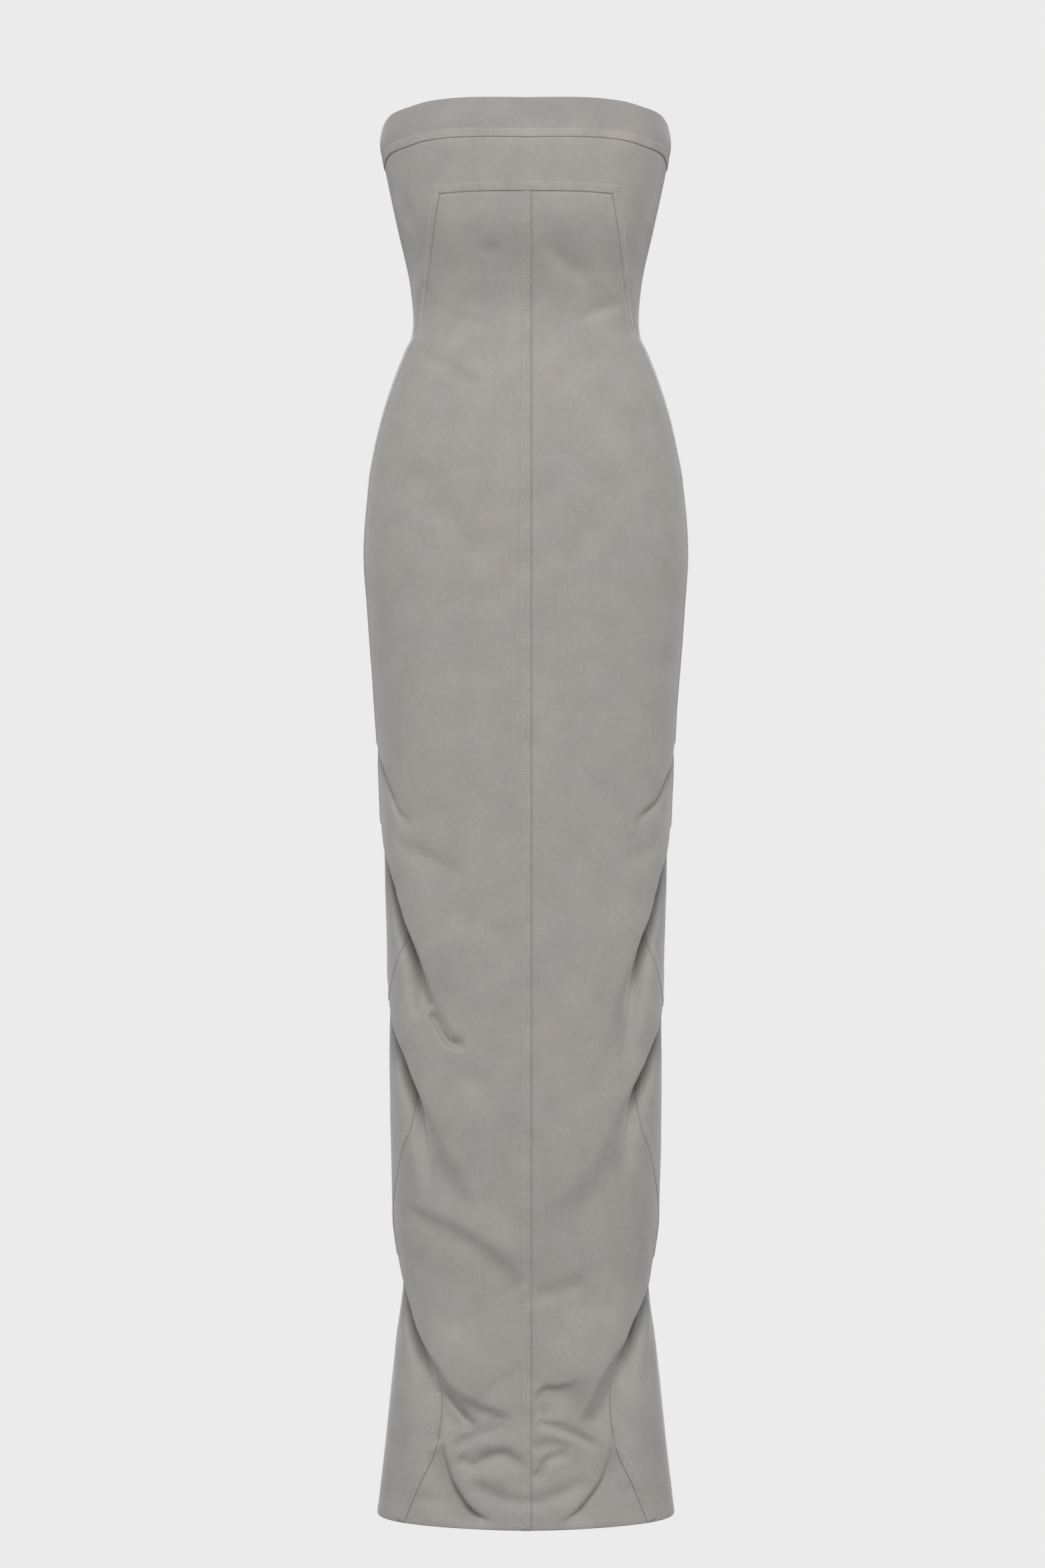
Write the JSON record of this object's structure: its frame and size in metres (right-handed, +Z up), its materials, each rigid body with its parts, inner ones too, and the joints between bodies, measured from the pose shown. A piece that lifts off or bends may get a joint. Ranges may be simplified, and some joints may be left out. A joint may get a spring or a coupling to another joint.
{
  "type": "strapless dress",
  "caption": "Long strapless column dress in grey cotton twill, worn form, hollow, with a top band, felled seams, a narrow turned hem and a zip at the centre back.",
  "frame": {"origin": "middle of the ring that the top band makes round the bust, halfway up the band at the side", "axes": "+Z up, -Y towards the front of the dress, +X to the right as seen from the front"},
  "size_m": [0.3264, 0.2638, 1.3942],
  "materials": {
    "twill": "garment-dyed cotton twill, washed soft",
    "zip_tape": "woven polyester tape",
    "zip_metal": "satin nickel"
  },
  "bodies": {
    "dress": {"band_front": "twill", "band_back_left": "twill", "band_back_right": "twill", "front_yoke": "twill", "centre_front_left": "twill", "centre_front_right": "twill", "back_left": "twill", "back_right": "twill", "felled_seam_band": "twill", "felled_seam_bib": "twill", "felled_seam_centre": "twill", "felled_seam_side_left": "twill", "felled_seam_side_right": "twill", "zip_tape": "zip_tape", "zip_slider": "zip_metal"},
    "pull": {"zip_pull": "zip_metal"}
  },
  "joints": [
    {"name": "pull_swing", "type": "hinge", "parent": "dress", "child": "pull", "pos_m": [0, 0.10193, -0.003], "axis": [1, 0, 0], "range_deg": [-3, 165]}
  ]
}
